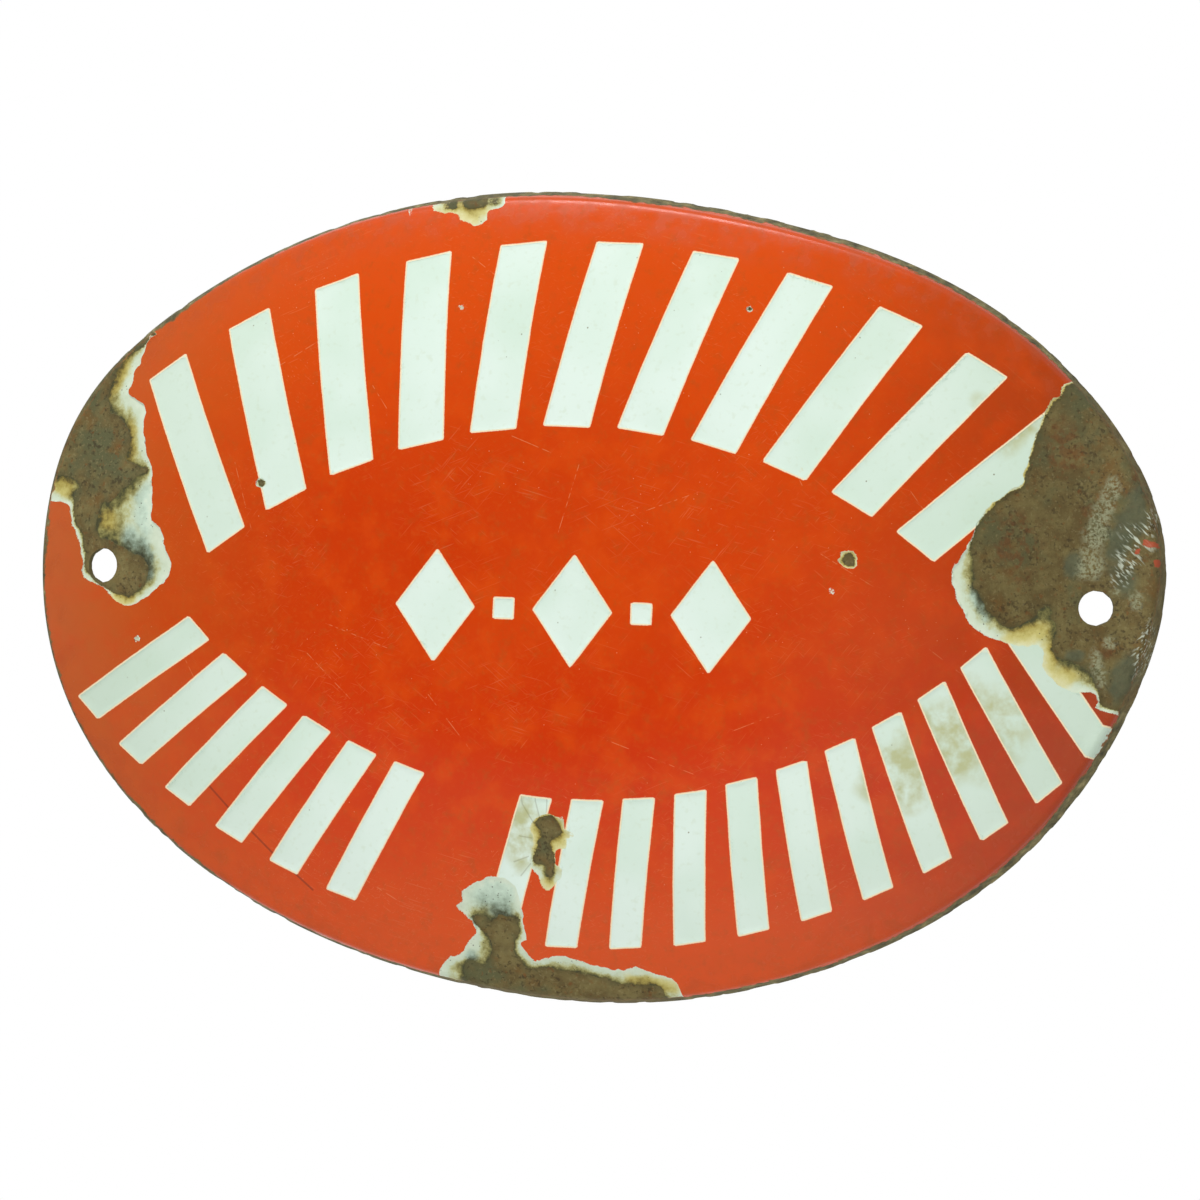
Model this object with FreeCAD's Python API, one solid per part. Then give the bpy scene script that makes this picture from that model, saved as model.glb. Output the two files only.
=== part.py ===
import FreeCAD, Part
import math
import os

# Oval sign plate: one steel pressing with a domed face and a turned-back rim,
# enamelled in coats. Millimetres, +X along the plate, +Z up, the face towards -Y.
# The origin is the middle of the oval on the wall plane that the rim stands on.

Vector = FreeCAD.Vector

# Oval, seen from the front
plate_length = 313.0
plate_height = 218.7

# Pressed form, measured square to the wall
plate_depth = 22.0
rim_depth = 5.0
rim_lean = 16.0
inner_bend = 0.4
crown_power = 3.0

# The left end has been bent back a little towards the wall
bent_from = 110.0
bent_back = 3.0

# Knocks that push the edge out (+) or in (-): angle round the oval, push, spread
edge_knocks = (
    (9.0, 2.8, 17.0),
    (-17.0, -5.0, 31.0),
    (77.0, -4.0, 26.0),
    (156.0, 2.7, 16.0),
    (181.0, -0.8, 19.0),
    (-84.0, 1.5, 19.0),
)

# Sheet and coats
steel = 1.0
back_coat = 0.15
ground_coat = 0.15
white_coat = 0.2
red_coat = 0.25

# Fixing holes
hole_diameter = 9.3
hole_from_end = 19.25
hole_line_x = 1.8
hole_line_z = 0.8

# Upper row of slanted bars, laid on a circular arc that bows upwards
upper_row_from_top = 41.35
upper_radius = 186.0
upper_bar_width = 12.0
upper_bar_height = 49.0
upper_bar_slant = 10.0
upper_bar_pitch = 23.5
upper_bar_count = 11

# Lower rows of narrower bars, laid on a circular arc that bows downwards
lower_row_from_bottom = 33.35
lower_radius = 177.0
lower_bar_width = 8.0
lower_bar_height = 39.0
lower_bar_slant = 8.0
lower_bar_pitch = 16.0
lower_left_angle = -31.0
lower_left_count = 6
lower_right_angle = 21.0
lower_right_count = 11

# Middle row: lozenges with a small square between each two
lozenge_width = 21.0
lozenge_height = 29.0
lozenge_pitch = 38.0
middle_x = -1.0
middle_z = -6.0
square_width = 5.0

# Chips, where the coats have flaked off to the steel. Those at the rim run out past it.
# Each outline is measured from one end, or from the top or bottom, of the true oval.
left_chip = (
    (31, 65), (25.5, 50), (30, 44), (30.5, 38), (34.5, 27), (35, 13.5), (41.5, 2.5),
    (36, -6.5), (28.5, -9.5), (22, -5.5), (14.5, -2), (13, 6), (8.5, 16.5), (-11.5, 20), (16.5, 72),
)
right_chip = (
    (-28.5, 64), (-32.5, 55), (-38.5, 33), (-49, 22.5), (-55, 10.5), (-55, 5), (-50, -4.5),
    (-46, -7.5), (-34.5, -9.5), (-29.5, -3), (-30.5, -15.5), (-27, -19.5), (-17.5, -21.5),
    (-16, -25), (11.5, -27), (7.5, 40), (-16.5, 72),
)
bottom_chip = (
    (-37.5, 5.4), (-30, 11.4), (-26.5, 16.4), (-31.5, 23.4), (-30, 27.4), (-21, 31.4),
    (-14.5, 27.4), (-13, 15.4), (-14.5, 12.9), (-10.5, 8.4), (-3.5, 11.4), (7.5, 8.4),
    (18.5, 8.9), (29, 3.9), (28, -8.6), (-34, -8.6),
)
lower_middle_chip = (
    (-10, 48), (-1.5, 48.4), (1.5, 43.9), (-4, 39), (-2.5, 33.9), (-6, 28.9), (-10.5, 34.4),
)
top_chip = (
    (-49, -9), (-42, -10.4), (-36.5, -13), (-32, -8.6), (-29, 2.6), (-49, 2.6),
)

# How closely the forms are drawn
edge_points = 24
crown_points = 7
overrun = 4.0

wall = back_coat + steel + ground_coat + white_coat + red_coat
glass = ground_coat + white_coat + red_coat
crown_rise = plate_depth - rim_depth
half_length = plate_length / 2
half_height = plate_height / 2
hole_spacing = plate_length - 2 * hole_from_end
upper_centre_z = half_height - upper_row_from_top - upper_radius
lower_centre_z = lower_row_from_bottom + lower_radius - half_height
chips = (
    (-half_length, 0, left_chip),
    (half_length, 0, right_chip),
    (0, -half_height, bottom_chip),
    (0, -half_height, lower_middle_chip),
    (0, half_height, top_chip),
)


def knock(turn):
    """How far the edge is pushed out of the true oval at this angle."""
    push = 0.0
    for angle, amount, spread in edge_knocks:
        gap = (math.degrees(turn) - angle + 180) % 360 - 180
        push += amount * math.exp(-((gap / spread) ** 2))
    return push


def edge_wire(inset, y):
    """The plate's knocked oval edge, drawn in by inset, at the height y off the wall."""
    points = []
    for step in range(edge_points):
        turn = 2 * math.pi * step / edge_points
        across = math.cos(turn) / half_length
        up = math.sin(turn) / half_height
        push = (knock(turn) - inset) / math.hypot(across, up)
        x = half_length * math.cos(turn) + push * across
        z = half_height * math.sin(turn) + push * up
        points.append(Vector(x, y, z))
    curve = Part.BSplineCurve()
    curve.interpolate(Points=points, PeriodicFlag=True)
    return Part.Wire([curve.toShape()])


def crown_point(x, z, depth):
    """A point at the given depth under the domed face."""
    reach = max(math.hypot(x / half_length, z / half_height), 1e-6)
    steepness = crown_rise * crown_power * reach ** (crown_power - 2)
    slope_x = steepness * x / half_length ** 2
    slope_z = steepness * z / half_height ** 2
    bend = max(0.0, (-x - bent_from) / (half_length - bent_from))
    y = crown_rise * reach ** crown_power - plate_depth + bent_back * bend ** 2
    return Vector(x, y + depth * math.sqrt(1 + slope_x ** 2 + slope_z ** 2), z)


def under_crown(depth):
    """All that lies behind the domed surface at the given depth, past the oval's edge too."""
    rows = []
    span = 2 / (crown_points - 1)
    for i in range(crown_points):
        x = (half_length + overrun) * (i * span - 1)
        row = []
        for j in range(crown_points):
            z = (half_height + overrun) * (j * span - 1)
            row.append(crown_point(x, z, depth))
        rows.append(row)
    surface = Part.BSplineSurface()
    surface.interpolate(rows)
    return surface.toShape().extrude(Vector(0, 3 * plate_depth, 0))


def body(depth, base):
    """The full form under the face and the rim's outside, down to the plane y = base."""
    lean = math.tan(math.radians(rim_lean))
    inset = depth / math.cos(math.radians(rim_lean))
    top = plate_depth + overrun
    foot_wire = edge_wire(inset - base * lean, base)
    top_wire = edge_wire(inset + top * lean, -top)
    sides = Part.makeLoft([foot_wire, top_wire], True, True)
    blank = under_crown(depth).common(sides)
    shoulder = [edge for edge in blank.Edges if edge.BoundBox.YMax < base - rim_depth / 10]
    return blank.makeFillet(inner_bend + wall - depth, shoulder)


def column(face):
    """A flat shape drawn behind the plate, run forwards through it."""
    return face.extrude(Vector(0, -plate_depth - 2 * overrun, 0))


def polygon(corners):
    """A flat face with straight sides behind the plate."""
    points = [Vector(x, overrun, z) for x, z in corners]
    return Part.Face(Part.makePolygon(points + points[:1]))


def slanted_bar(width, height, slant):
    """The corners of a bar that leans to the right, about its middle."""
    return (
        (-width / 2 - slant / 2, -height / 2),
        (width / 2 - slant / 2, -height / 2),
        (width / 2 + slant / 2, height / 2),
        (-width / 2 + slant / 2, height / 2),
    )


def placed(corners, x, z, turn):
    """Corners turned by an angle and moved to a place."""
    out = []
    for u, v in corners:
        out.append((
            x + u * math.cos(turn) - v * math.sin(turn),
            z + u * math.sin(turn) + v * math.cos(turn),
        ))
    return out


def upper_row():
    """Bars along the upper arc, each square to the arc but for its slant."""
    bars = []
    bar = slanted_bar(upper_bar_width, upper_bar_height, upper_bar_slant)
    for step in range(upper_bar_count):
        turn = (step - (upper_bar_count - 1) / 2) * upper_bar_pitch / upper_radius
        x = upper_radius * math.sin(turn)
        z = upper_centre_z + upper_radius * math.cos(turn)
        bars.append(placed(bar, x, z, -turn))
    return bars


def lower_row(middle_angle, count):
    """Bars along the lower arc, about one angle from its lowest point."""
    bars = []
    bar = slanted_bar(lower_bar_width, lower_bar_height, lower_bar_slant)
    for step in range(count):
        along = (step - (count - 1) / 2) * lower_bar_pitch / lower_radius
        turn = math.radians(middle_angle) + along
        x = lower_radius * math.sin(turn)
        z = lower_centre_z - lower_radius * math.cos(turn)
        bars.append(placed(bar, x, z, turn))
    return bars


def middle_row():
    """Three lozenges and the two small squares between them."""
    half_width = lozenge_width / 2
    half_tall = lozenge_height / 2
    lozenge = ((0, -half_tall), (half_width, 0), (0, half_tall), (-half_width, 0))
    square = slanted_bar(square_width, square_width, 0)
    shapes = []
    for step in (-1, 0, 1):
        shapes.append(placed(lozenge, middle_x + step * lozenge_pitch, middle_z, 0))
    for step in (-0.5, 0.5):
        shapes.append(placed(square, middle_x + step * lozenge_pitch, middle_z, 0))
    return shapes


def pockets(faces, floor):
    """What is missing over the given shapes, from the face down to the given floor."""
    columns = Part.makeCompound([column(face) for face in faces])
    return columns.cut(floor)


def fixing_hole(side):
    """A round hole through the plate, square to the wall."""
    x = hole_line_x + side * hole_spacing / 2
    start = Vector(x, -plate_depth - overrun, hole_line_z)
    return Part.makeCylinder(hole_diameter / 2, plate_depth + 2 * overrun, start, Vector(0, 1, 0))


def sign_plate():
    shapes = upper_row() + middle_row()
    shapes += lower_row(lower_left_angle, lower_left_count)
    shapes += lower_row(lower_right_angle, lower_right_count)
    marks = pockets([polygon(corners) for corners in shapes], under_crown(red_coat))
    outlines = [placed(outline, x, z, 0) for x, z, outline in chips]
    losses = pockets([polygon(corners) for corners in outlines], body(glass, overrun))
    shell = body(0, 0).cut(body(wall, overrun))
    return shell.cut([marks, losses, fixing_hole(-1), fixing_hole(1)])


os.makedirs("parts", exist_ok=True)
sign_plate().exportStep("parts/sign_plate.step")
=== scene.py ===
import math
import bpy
import numpy as np
from mathutils import Matrix, Vector


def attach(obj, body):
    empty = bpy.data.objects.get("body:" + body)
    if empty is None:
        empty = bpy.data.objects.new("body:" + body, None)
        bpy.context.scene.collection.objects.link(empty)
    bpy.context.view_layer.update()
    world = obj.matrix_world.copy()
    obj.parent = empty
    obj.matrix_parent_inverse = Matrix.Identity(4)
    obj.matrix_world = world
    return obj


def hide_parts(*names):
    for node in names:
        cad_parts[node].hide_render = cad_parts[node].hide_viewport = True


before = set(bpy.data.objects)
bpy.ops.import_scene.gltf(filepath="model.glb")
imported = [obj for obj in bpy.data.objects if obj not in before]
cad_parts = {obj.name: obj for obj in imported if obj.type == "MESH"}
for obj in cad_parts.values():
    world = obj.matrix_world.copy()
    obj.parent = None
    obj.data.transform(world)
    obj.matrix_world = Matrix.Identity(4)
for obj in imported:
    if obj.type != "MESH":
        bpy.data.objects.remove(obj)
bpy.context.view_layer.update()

# The dressed plate: a domed oval in vitreous enamel, with its coat edges, chips and rust.
# Forms are worked out in millimetres, as in the part's source, and scaled to metres at the end.
MM = 0.001
SEED = 1209
FULL_TURN = 2 * math.pi

# Oval and pressed form
PLATE_LENGTH = 313.0
PLATE_HEIGHT = 218.7
PLATE_DEPTH = 22.0
RIM_DEPTH = 5.0
RIM_LEAN = math.radians(16.0)
INNER_BEND = 0.4
CROWN_POWER = 3.0
BENT_FROM = 110.0
BENT_BACK = 3.0
HALF_LENGTH = PLATE_LENGTH / 2
HALF_HEIGHT = PLATE_HEIGHT / 2
CROWN_RISE = PLATE_DEPTH - RIM_DEPTH

# Knocks that push the edge out (+) or in (-): angle round the oval, push, spread
EDGE_KNOCKS = (
    (9.0, 2.8, 17.0), (-17.0, -5.0, 31.0), (77.0, -4.0, 26.0),
    (156.0, 2.7, 16.0), (181.0, -0.8, 19.0), (-84.0, 1.5, 19.0),
)

# The shoulder's corner is found in rounds. The shoulder bends over this share of its radius
# either side of the corner, and leaves at least this share of the rim's depth straight.
CORNER_ROUNDS = 12
BEND_REACH = 0.62
LEAST_SIDE = 0.15

# The rim's foot: its bevel, and how deep it is nibbled
FOOT_BEVEL = 0.3
EDGE_WEAR = 0.45

# How far the rim's measure for the materials falls over the shoulder, the side and the foot
SHOULDER_RUN = 2.2
SIDE_RUN = 4.0
FOOT_RUN = 0.4

# Sheet and coats
WALL = 1.75
GLASS = 0.6
RED_COAT = 0.25

# Fixing holes
HOLE_RADIUS = 4.65
HOLES = ((1.8 - 137.25, 0.8), (1.8 + 137.25, 0.8))

# Each hole is punched square to the face, so that its ends on the face and on the back
# lie a little to either side of its middle, and both look narrower from the front
HOLE_NARROWING = (0.949, 0.97)
FACE_HOLE_SHIFT = (-0.68, -0.28)
BACK_HOLE_SHIFT = (-0.12, -0.72)

# A hole's own open edges lie within its radius and this much more
HOLE_SEARCH = 1.0

# Materials by number. Faces far enough from any loss and from the rim have the sound one,
# which leaves out what they can't show.
CHIPPED_FRONT = 0
BACK = 1
SOUND_FRONT = 2
SOUND_EDGE = 1.0
SOUND_RIM = 3.3

# Layers of the face, from the top
RED_LAYER = 0
WHITE_LAYER = 1
LOSS_LAYER = 2

# Edges that bend more than this look sharp
SHARP_ANGLE = math.radians(40)

# How finely the plate is meshed
FACE_CELLS = 252
BACK_CELLS = 126
BEND_ROWS = 6
SIDE_ROWS = 4
INNER_BEND_ROWS = 2
INNER_SIDE_ROWS = 4

# Rows of plain marks
UPPER = dict(centre=-118.0, radius=186.0, width=12.0, height=49.0, slant=10.0, pitch=23.5)
UPPER_COUNT = 11
LOWER = dict(centre=101.0, radius=177.0, width=8.0, height=39.0, slant=8.0, pitch=16.0)
LOWER_GROUPS = ((-31.0, 6), (21.0, 11))
LOZENGE_WIDTH = 21.0
LOZENGE_HEIGHT = 29.0
LOZENGE_PITCH = 38.0
MIDDLE_X = -1.0
MIDDLE_Z = -6.0
SQUARE_WIDTH = 5.0

# Where the red coat is lost, and the bare steel inside each loss. Points in the plate's x and z.
LEFT_CHIP = (
    (-125.5, 65), (-127.5, 62), (-131, 50), (-131, 47.5), (-126.5, 44), (-126, 38), (-124, 30.5),
    (-122.5, 27), (-122, 20), (-121.5, 13.5), (-118.5, 11.5), (-117.5, 7.5), (-115, 2.5),
    (-116, -1.5), (-120.5, -6.5), (-125.5, -9), (-128.5, -9.5), (-132, -8), (-134.5, -5.5),
    (-139, -4), (-142, -2), (-143, 4), (-144.5, 8), (-146.5, 12), (-148, 16.5), (-152.5, 17.5),
    (-168, 20), (-150, 60), (-134, 76),
)
LEFT_CORE = (
    (-124.6, 66.2), (-131.5, 58.5), (-135, 55), (-137, 51), (-137.5, 47), (-137, 43), (-134, 41),
    (-131.5, 39), (-130.5, 34), (-130, 29.5), (-127.5, 28), (-123.5, 27), (-128.5, 24.5),
    (-130, 22), (-133.5, 19.5), (-138, 17), (-139, 13.5), (-137.5, 9), (-132.5, 7),
    (-128.5, 5), (-124, 3.5), (-122.5, 1), (-122.5, -2.5), (-124.5, -5), (-127.5, -7),
    (-131.5, -7), (-134.5, -5), (-138, -3), (-141, -1), (-142, 3), (-143, 7), (-144, 11),
    (-145.5, 15), (-146, 19), (-145.5, 22), (-148, 24), (-152, 24.5), (-170, 26), (-152, 62),
    (-136, 78),
)
RIGHT_CHIP = (
    (128, 64), (127, 60), (126, 57), (124, 55), (122, 50), (120, 43), (118.5, 36), (118, 33),
    (113.5, 30), (109.5, 26), (107.5, 22.5), (105.5, 18), (104, 14.5), (101.5, 10.5), (101, 7),
    (103, 1.5), (106.5, -4.5), (110.5, -7.5), (119, -10), (122, -10), (124.5, -10),
    (126, -11.5), (126, -15.5), (127, -17.5), (129.5, -19.5), (133.5, -21.5), (139, -21.5),
    (140.5, -24), (139.5, -25.5), (142.5, -26.5), (147, -26.5), (168, -30), (172, 20), (140, 78),
)
RIGHT_CORE = (
    (129, 62), (126.5, 57), (124, 54), (122.5, 50), (121, 46), (120, 41), (119, 36), (117.5, 32),
    (113, 29.5), (109, 25.5), (107, 21), (106, 17), (105.8, 13), (106.5, 9), (107.5, 5),
    (109.5, 1.5), (111.5, -2), (114.5, -4.5), (117.5, -5.5), (121, -4), (123.5, -1),
    (126.3, 1), (127.5, -1), (128, -4), (128.5, -8), (128.7, -11), (130, -13), (133, -13.7),
    (136.5, -15.5), (138.5, -18), (140.5, -21.5), (141.5, -24.5), (147, -26), (170, -29),
    (174, 20), (142, 80),
)
BOTTOM_CHIP = (
    (-37.5, -104), (-34.5, -100.5), (-30.5, -98.5), (-29, -96.5), (-27, -94), (-26.5, -93),
    (-27.5, -90.5), (-30.5, -87.5), (-32, -86), (-30, -85), (-30, -82.5), (-27.5, -80.5),
    (-25, -79), (-21, -78), (-17.5, -78.5), (-15.5, -80), (-14, -83), (-13.5, -87), (-13, -91),
    (-13, -94.5), (-14.5, -96.5), (-12.5, -98), (-10.5, -100), (-9, -100),
    (-7, -99), (-3.5, -98), (0.5, -99), (7.5, -101), (14.5, -101), (18.5, -100.5), (23, -102),
    (26.5, -103), (29, -105), (29, -107), (27, -109.5), (20, -122), (-36, -122), (-40, -110),
)
BOTTOM_CORE = (
    (-27, -108.5), (-30.5, -105.5), (-31, -103), (-29, -101), (-25.5, -102), (-23.5, -99.5),
    (-22.5, -96), (-24, -94), (-26.5, -91), (-28, -89.5), (-25, -88.5), (-23.5, -90.5),
    (-21, -89.5), (-18, -88), (-15, -88.5), (-14.7, -91), (-16, -94.5), (-16.5, -97),
    (-14.5, -100.5), (-12.5, -102), (-9, -102), (-3.5, -102.5), (1.5, -102.8), (6, -104),
    (12, -104.5), (21, -105.5), (26, -107), (27, -109), (20, -124), (-34, -124),
)
MIDDLE_CHIP = (
    (-9.5, -61.5), (-6, -60.5), (-3, -61), (-1.5, -61), (-1.5, -64), (1.5, -65.5), (-0.5, -67),
    (-1, -69.5), (-3.5, -69.5), (-4, -72), (-2.5, -75.5), (-3.5, -78.5), (-5.5, -80.5),
    (-7, -80.5), (-8.5, -78), (-10.5, -75), (-11, -71), (-10, -67.5), (-11, -64.5),
)
MIDDLE_CORE = (
    (-9, -62.5), (-6, -61.5), (-3.5, -62), (-2.5, -65.5), (-4.5, -67.5), (-5, -70), (-4.2, -73),
    (-5, -77.5), (-6, -77.5), (-7, -74), (-9.5, -73.5), (-9.5, -70), (-8.5, -67.5), (-8.5, -65),
)
TOP_CHIP = (
    (-56, 99.5), (-51, 100.5), (-46.5, 99.5), (-43, 99.5), (-41, 98.3), (-38.5, 97), (-36.5, 96.3),
    (-34, 96.6), (-33, 98), (-33, 99.7), (-32, 100.8), (-28, 102.5), (-26, 116), (-56, 116),
)
TOP_CORE = (
    (-56, 101.5), (-48, 101.7), (-44, 101), (-41, 101.2), (-38, 100.5), (-35.5, 101.5),
    (-33, 103), (-30, 103.5), (-27, 118), (-56, 118),
)
CHIPS = (
    (LEFT_CHIP, LEFT_CORE),
    (RIGHT_CHIP, RIGHT_CORE),
    (BOTTOM_CHIP, BOTTOM_CORE),
    (MIDDLE_CHIP, MIDDLE_CORE),
    (TOP_CHIP, TOP_CORE),
)
# Small round pits: x, z, radius, share of the radius that is bare steel
PITS = (
    (73.5, 10.8, 2.5, 0.62),
    (69.3, 2.4, 0.9, 0.5),
    (42.3, 76.3, 0.9, 0.6),
    (-36.8, 74.0, 0.8, 0.6),
    (-90.0, 24.7, 1.3, 0.6),
    (-124.6, -18.5, 0.9, 0.1),
    (59.6, 34.1, 0.8, 0.3),
)

# How closely the losses' outlines are drawn
OUTLINE_STEP = 0.8

# The table of random values that noise repeats, and the plate's middle in it
NOISE_CELLS = 64
NOISE_MIDDLE = (32.5, 17.5)

# Noise on the forms. Each row has a strength, a size and a seed.
STENCIL_WAVER = ((0.06, 7.0, 1), (0.03, 2.2, 2))
RAGGED_COAT = ((1.0, 2.6, 3), (0.7, 1.2, 4))
RAGGED_STEEL = ((0.7, 3.5, 5), (0.6, 1.6, 6))
STEEL_PITTING = ((0.05, 2.4, 21), (0.05, 1.1, 22))
PRESSING_WAVES = ((0.1, 38.0, 31), (0.03, 14.0, 32))
NIBBLES = ((1.0, 3.2, 41), (0.4, 1.4, 42))
RAGGED = 0.45

# Pits are ragged by this share of their radius, with noise of this size and seed
PIT_RAGGED = 0.25
PIT_SIZE = 1.1
PIT_SEED = 7

# How the red coat rounds off to the white, and how the broken coats slope down to the steel
ROUNDED_SHARE = 0.3
ROUNDED_RUN = 1.1
LOSS_STEP = 0.05
LOSS_CURVE = 0.6
LEAST_SLOPE_RUN = 0.25

# The waves and the layers' depths fade over this run beside the rim, the depths to a share
FADE_RUN = 3.0
LEAST_DEPTH = 0.25

# How vertices are drawn to the lines: how far to a mark's corner, the share of a cell that a
# vertex may move, the wider one that is searched, the slack at the end, and the rounds. A
# line's slope is read over a nudge, and taken as no less than this.
CORNER_REACH = 0.75
SNAP_REACH = 0.53
SNAP_SEARCH = 0.55
SNAP_SLACK = 1.25
SNAP_ROUNDS = 3
UNFOLD_ROUNDS = 3
LEAST_SLOPE = 0.5
LEAST_SLOPE_SQUARED = 0.3
NUDGE = 0.04

# Values and tolerances: far from any line, on a line, and at the disc's edge
FAR = 50.0
FAR_OFF = 1e9
ON_LINE = 1e-3
AT_RIM = 1 - 1e-9

# Soft patches are full up to their reach less their softness, and their edges waver
PATCH_REACH = 1.15
PATCH_SOFTNESS = 0.45
PATCH_WAVER = 0.25
PATCH_GRAIN = 0.8
PATCH_SEED = 11

# Soft patches on the steel and the pale coats: x, z, half width, half height, turn in degrees
SOFT_PATCHES = {
    "pale": (
        (140.5, 31.0, 2.4, 5.5, -10), (137.8, 21.0, 3.2, 8.0, -12), (136.5, 12.5, 3.6, 4.5, 0),
        (140.0, -15.5, 1.6, 5.5, 12), (142.5, -8.0, 1.8, 1.8, 0), (149.0, 3.5, 2.0, 3.0, 0),
        (143.8, 5.4, 1.2, 0.9, 20),
    ),
    "dark": (
        (144.5, 20.0, 3.2, 11.0, -14), (148.0, 27.0, 3.0, 7.0, 10), (146.0, 8.0, 3.0, 4.0, 0),
        (146.5, -17.0, 3.2, 7.0, -20), (132.5, 12.0, 2.6, 4.2, 0), (137.0, -18.5, 1.8, 4.0, 30),
        (134.0, -12.0, 2.6, 1.8, 10),
    ),
    "streak": (
        (148.6, 20.0, 4.6, 3.6, -30), (146.4, 14.0, 3.4, 3.2, -30), (144.8, 9.0, 2.4, 2.4, 0),
        (151.2, -9.0, 1.8, 7.5, -12), (151.0, 25.0, 2.0, 2.6, 0),
    ),
    "ember": (
        (151.5, 18.4, 2.4, 0.8, -18), (148.2, 16.3, 1.1, 0.6, -30), (153.6, 13.2, 0.8, 1.2, 0),
    ),
    "rust": (
        (142.0, -11.0, 2.0, 1.6, 0), (141.0, -19.5, 1.8, 1.2, 10), (135.0, 27.0, 1.4, 6.0, -10),
        (118.0, 16.0, 7.0, 9.0, 0), (128.0, 42.0, 5.0, 8.0, 20), (148.0, 34.0, 2.0, 5.0, 15),
    ),
    "blue": (
        (-128.0, 8.5, 4.0, 4.0, -25), (-123.5, 3.5, 3.5, 7.5, 10), (-124.0, 16.0, 3.0, 8.0, 8),
        (-27.5, -90.5, 3.2, 2.0, 15), (-22.0, -82.5, 7.0, 4.5, 0),
        (-19.5, -87.0, 5.0, 2.6, 0), (132.2, 10.6, 1.0, 0.8, 0), (-28.5, -99.5, 2.2, 2.0, 0),
        (108.5, 0.5, 1.6, 5.5, 28),
    ),
    "yellow": (
        (-136.0, 52.0, 2.5, 9.0, -25), (-135.5, 13.5, 3.4, 3.0, -20), (-150.0, 22.0, 4.0, 3.5, 0),
        (127.0, 52.0, 5.0, 12.0, -20), (120.0, 38.0, 4.5, 8.0, -8), (111.0, 28.5, 6.0, 3.0, 40),
        (-124.5, 66.5, 3.0, 2.5, 40),
        (-130.0, 34.0, 2.5, 6.0, 0), (-6.0, -66.0, 7.0, 9.0, 0),
        (-129.0, -8.0, 5.0, 2.0, 0), (121.0, -7.0, 7.0, 3.5, 15), (127.5, -13.0, 2.4, 7.0, 10),
        (131.0, -18.0, 4.0, 3.0, 20), (22.0, -104.5, 9.0, 2.0, -8), (-7.0, -80.0, 3.0, 2.4, 0),
        (-40.0, 99.0, 9.0, 3.5, 0), (73.5, 10.8, 3.0, 3.0, 0),
    ),
    "soil": (
        (104.0, -34.0, 20.0, 13.0, 35), (88.0, -46.0, 12.0, 9.0, 35), (-12.0, -66.0, 7.0, 11.0, 0),
        (113.0, 50.0, 9.0, 9.0, 0), (-30.0, -76.0, 5.0, 5.0, 0),
    ),
}


def noise(x, z, size, seed):
    """Smooth value noise from -1 to 1 over the plate, with features of the given size."""
    table = np.random.default_rng(SEED + seed).uniform(-1, 1, (NOISE_CELLS, NOISE_CELLS))
    u = x / size + NOISE_MIDDLE[0]
    v = z / size + NOISE_MIDDLE[1]
    i, j = np.floor(u).astype(int), np.floor(v).astype(int)
    fu, fv = u - i, v - j
    fu = fu * fu * (3 - 2 * fu)
    fv = fv * fv * (3 - 2 * fv)
    i, next_i, j, next_j = (k % NOISE_CELLS for k in (i, i + 1, j, j + 1))
    near = table[i, j] * (1 - fu) + table[next_i, j] * fu
    far = table[i, next_j] * (1 - fu) + table[next_i, next_j] * fu
    return near * (1 - fv) + far * fv


def ruffled(value, x, z, rows):
    """A value with rows of noise added."""
    for strength, size, seed in rows:
        value = value + strength * noise(x, z, size, seed)
    return value


def smooth_loop(points):
    """A closed smooth curve through the points, as closely spaced corners."""
    p = np.array(points, float)
    before = np.roll(p, 1, 0)
    after = np.roll(p, -1, 0)
    later = np.roll(p, -2, 0)
    out = []
    for k in range(len(p)):
        steps = max(2, int(np.hypot(*(after[k] - p[k])) / OUTLINE_STEP))
        for t in np.arange(steps) / steps:
            out.append(0.5 * (
                2 * p[k] + (after[k] - before[k]) * t
                + (2 * before[k] - 5 * p[k] + 4 * after[k] - later[k]) * t ** 2
                + (3 * p[k] - before[k] - 3 * after[k] + later[k]) * t ** 3
            ))
    return np.array(out)


def signed_distance(x, z, loop):
    """Distance from each place to a closed outline, negative inside."""
    gap = np.full(x.shape, FAR_OFF)
    inside = np.zeros(x.shape, bool)
    for k in range(len(loop)):
        ax, az = loop[k - 1]
        bx, bz = loop[k]
        ex, ez = bx - ax, bz - az
        along = ((x - ax) * ex + (z - az) * ez) / max(ex * ex + ez * ez, 1e-9)
        along = np.clip(along, 0, 1)
        gap = np.minimum(gap, (x - ax - along * ex) ** 2 + (z - az - along * ez) ** 2)
        if az != bz:
            inside ^= ((az > z) != (bz > z)) & (x < ax + (z - az) * ex / ez)
    gap = np.sqrt(gap)
    return np.where(inside, -gap, gap)


def slanted_bar(width, height, slant):
    """The corners of a bar that leans to the right, about its middle."""
    half, tall, lean = width / 2, height / 2, slant / 2
    return ((-half - lean, -tall), (half - lean, -tall), (half + lean, tall), (lean - half, tall))


def placed(corners, x, z, turn):
    """Corners turned by an angle and moved to a place."""
    cosine, sine = math.cos(turn), math.sin(turn)
    return [(x + u * cosine - v * sine, z + u * sine + v * cosine) for u, v in corners]


def arc_row(row, middle, count, side):
    """Bars along a circular arc that bows up (side 1) or down (side -1)."""
    bar = slanted_bar(row["width"], row["height"], row["slant"])
    bars = []
    for step in range(count):
        turn = math.radians(middle) + (step - (count - 1) / 2) * row["pitch"] / row["radius"]
        x = row["radius"] * math.sin(turn)
        z = row["centre"] + side * row["radius"] * math.cos(turn)
        bars.append(placed(bar, x, z, -side * turn))
    return bars


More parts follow.
